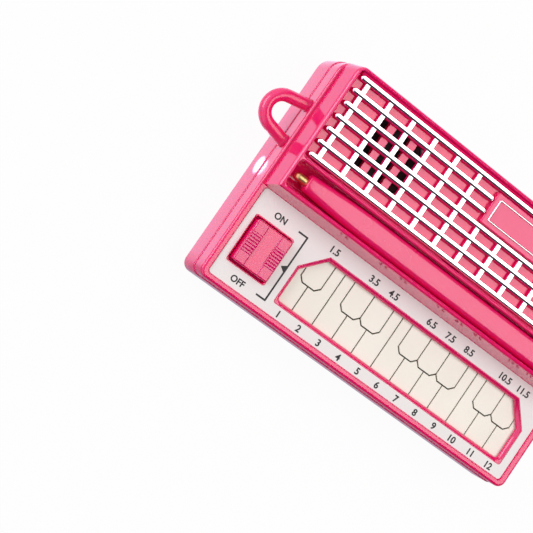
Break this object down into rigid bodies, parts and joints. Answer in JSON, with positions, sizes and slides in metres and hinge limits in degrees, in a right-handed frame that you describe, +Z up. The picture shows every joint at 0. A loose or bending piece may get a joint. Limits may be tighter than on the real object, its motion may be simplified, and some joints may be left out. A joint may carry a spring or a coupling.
{
  "type": "pocket synthesizer",
  "caption": "Small two-shell stylus synthesizer with flat contact keys, a slide switch, a stylus in a trough, a barred speaker grille and a strap loop.",
  "frame": {"origin": "middle of the case's base, on the surface that it rests on", "axes": "+X along the keyboard from the switch to the highest key, +Y from the keyboard to the grille, +Z up"},
  "size_m": [0.0908, 0.0514, 0.0169],
  "materials": {
    "pink_plastic": "glossy moulded",
    "panel_film": "satin silver-white film",
    "chrome_trim": "bright plated",
    "ivory_pads": "semi-gloss coated contact pads",
    "board": "dull laminate",
    "black_plastic": "dull",
    "black_rubber": "dull",
    "steel": "bright",
    "magnet": "dull",
    "cone_paper": "dull",
    "tip_brass": "polished",
    "red_wire": "satin insulation",
    "black_wire": "satin insulation"
  },
  "bodies": {
    "case": {"bottom_shell": "pink_plastic", "top_shell": "pink_plastic", "strap_loop": "pink_plastic", "control_panel": "panel_film", "speaker_grille": "chrome_trim", "badge_trim": "chrome_trim", "key_pad_1": "ivory_pads", "key_pad_2": "ivory_pads", "key_pad_3": "ivory_pads", "key_pad_4": "ivory_pads", "key_pad_5": "ivory_pads", "key_pad_6": "ivory_pads", "key_pad_7": "ivory_pads", "key_pad_8": "ivory_pads", "key_pad_9": "ivory_pads", "key_pad_10": "ivory_pads", "key_pad_11": "ivory_pads", "key_pad_12": "ivory_pads", "key_pad_1_half": "ivory_pads", "key_pad_3_half": "ivory_pads", "key_pad_4_half": "ivory_pads", "key_pad_6_half": "ivory_pads", "key_pad_7_half": "ivory_pads", "key_pad_8_half": "ivory_pads", "key_pad_10_half": "ivory_pads", "key_pad_11_half": "ivory_pads", "circuit_board": "board", "chip_cover": "black_plastic", "lead_grommet": "black_rubber", "slide_switch_body": "steel", "speaker_frame": "steel", "button_cell_1": "steel", "button_cell_2": "steel", "button_cell_3": "steel", "battery_contact_left": "steel", "battery_contact_right": "steel", "case_screw_left_front": "steel", "case_screw_right_front": "steel", "case_screw_left_back": "steel", "case_screw_right_back": "steel", "speaker_magnet": "magnet", "speaker_cone": "cone_paper", "speaker_wire_a": "red_wire", "battery_wire_left": "red_wire", "speaker_wire_b": "black_wire", "battery_wire_right": "black_wire"},
    "switch": {"switch_cap": "pink_plastic", "slide_switch_lever": "black_plastic"},
    "stylus": {"stylus_barrel": "pink_plastic", "stylus_tip": "tip_brass"},
    "battery_door": {"battery_door": "pink_plastic", "battery_door_screw": "steel"}
  },
  "joints": [
    {"name": "switch_slide", "type": "slide", "parent": "case", "child": "switch", "axis": [0, 1, 0], "range_m": [-0.00025, 0.00025]},
    {"name": "stylus_lift", "type": "slide", "parent": "case", "child": "stylus", "axis": [0, 0, 1], "range_m": [0, 0.012]},
    {"name": "door_removal", "type": "slide", "parent": "case", "child": "battery_door", "axis": [0, 0, -1], "range_m": [0, 0.012]}
  ]
}
